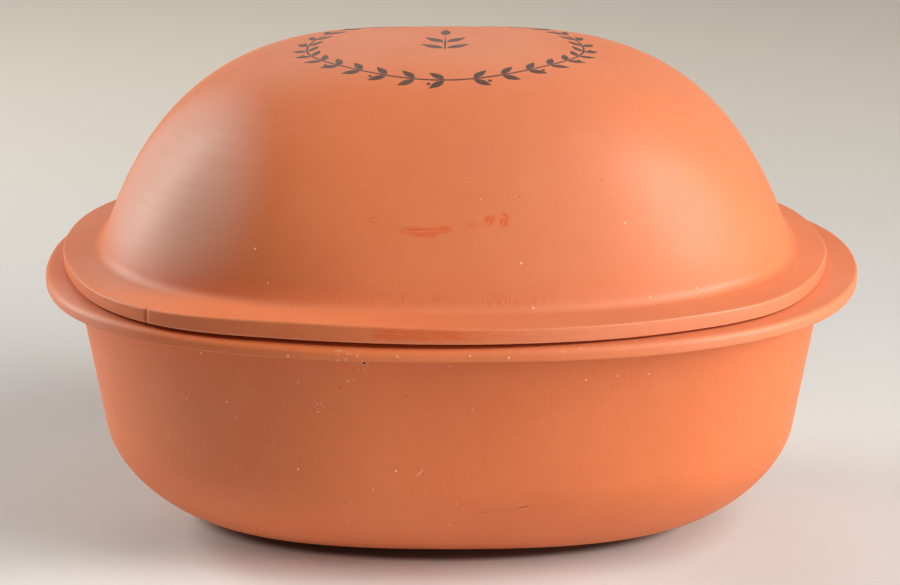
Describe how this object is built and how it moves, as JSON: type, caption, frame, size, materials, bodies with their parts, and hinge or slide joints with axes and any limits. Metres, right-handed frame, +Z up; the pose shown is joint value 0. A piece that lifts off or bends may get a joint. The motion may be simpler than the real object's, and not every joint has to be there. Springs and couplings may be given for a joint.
{
  "type": "clay baker",
  "caption": "Oval unglazed clay baker: a deep flanged dish and a domed lid that rests on its flange and lifts off, for roasting food in an oven.",
  "frame": {"origin": "middle of the dish's flat foot, on the surface the baker stands on", "axes": "+X along the long axis of the oval, +Z up, -Y towards the pictured front"},
  "size_m": [0.36, 0.248, 0.223],
  "materials": {
    "red_clay": "unglazed, satin-matt fired red earthenware"
  },
  "bodies": {
    "dish": {"base_dish": "red_clay"},
    "lid": {"domed_lid": "red_clay"}
  },
  "joints": [
    {"name": "lid_lift", "type": "slide", "parent": "dish", "child": "lid", "axis": [0, 0, 1], "range_m": [0, 0.15]}
  ]
}
